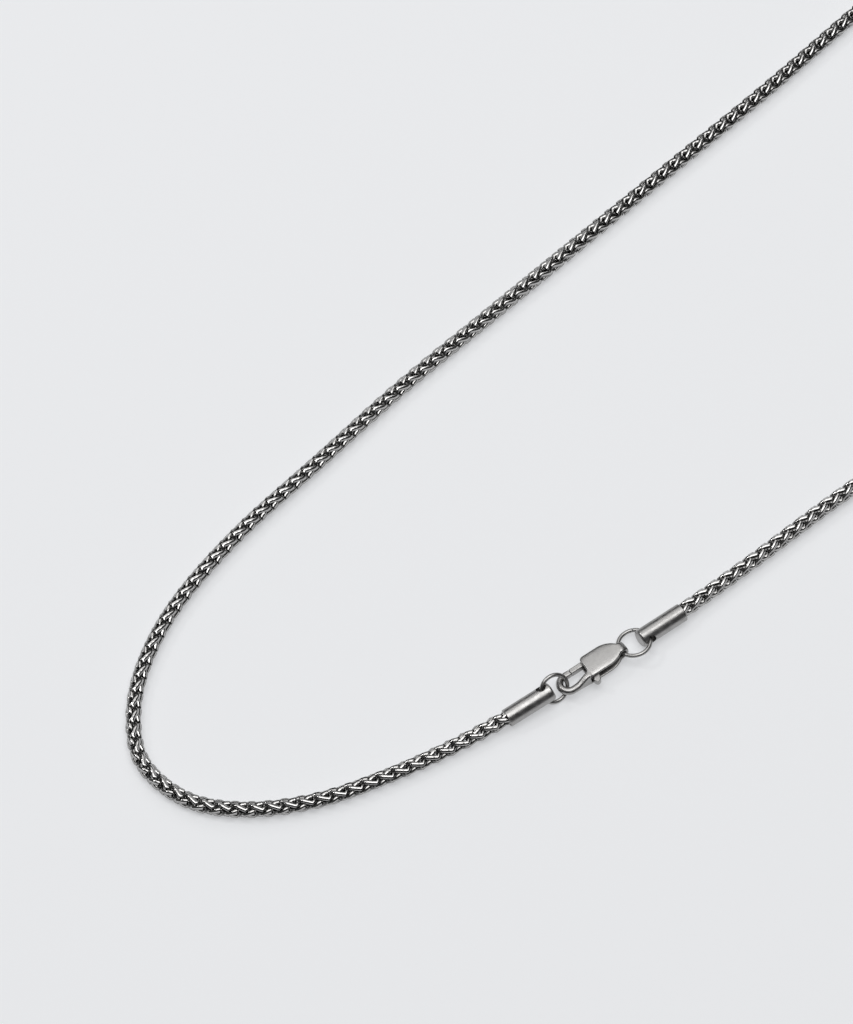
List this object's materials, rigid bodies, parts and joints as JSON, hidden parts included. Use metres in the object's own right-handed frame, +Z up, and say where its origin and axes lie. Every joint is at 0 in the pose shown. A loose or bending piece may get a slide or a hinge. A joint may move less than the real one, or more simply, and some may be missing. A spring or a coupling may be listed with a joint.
{
  "type": "chain necklace",
  "caption": "Wheat chain necklace lying flat as a closed loop, with barrel end caps, jump rings and a lobster clasp with a sprung lever.",
  "frame": {"origin": "under the middle of the loop's bounding box, on the surface that the necklace lies on", "axes": "+X along the clasp from its hook to its neck and along the loop's long way, +Z up from the surface"},
  "size_m": [0.2232, 0.0721, 0.0038],
  "materials": {
    "chain_steel": "polished, dark between the links",
    "fittings_steel": "satin"
  },
  "bodies": {
    "necklace": {"chain": "chain_steel", "end_cap_hook": "fittings_steel", "end_cap_neck": "fittings_steel", "jump_ring_hook": "fittings_steel", "jump_ring_neck": "fittings_steel", "clasp_body": "fittings_steel", "clasp_pin": "fittings_steel"},
    "lever": {"clasp_lever": "fittings_steel"}
  },
  "joints": [
    {"name": "lever_hinge", "type": "hinge", "parent": "necklace", "child": "lever", "pos_m": [-0.0496, -0.03306, 0.00142], "axis": [0, 0.1736, 0.9848], "range_deg": [0, 20], "stiffness_Nm_per_rad": 0.004, "springref_deg": -11.46}
  ]
}
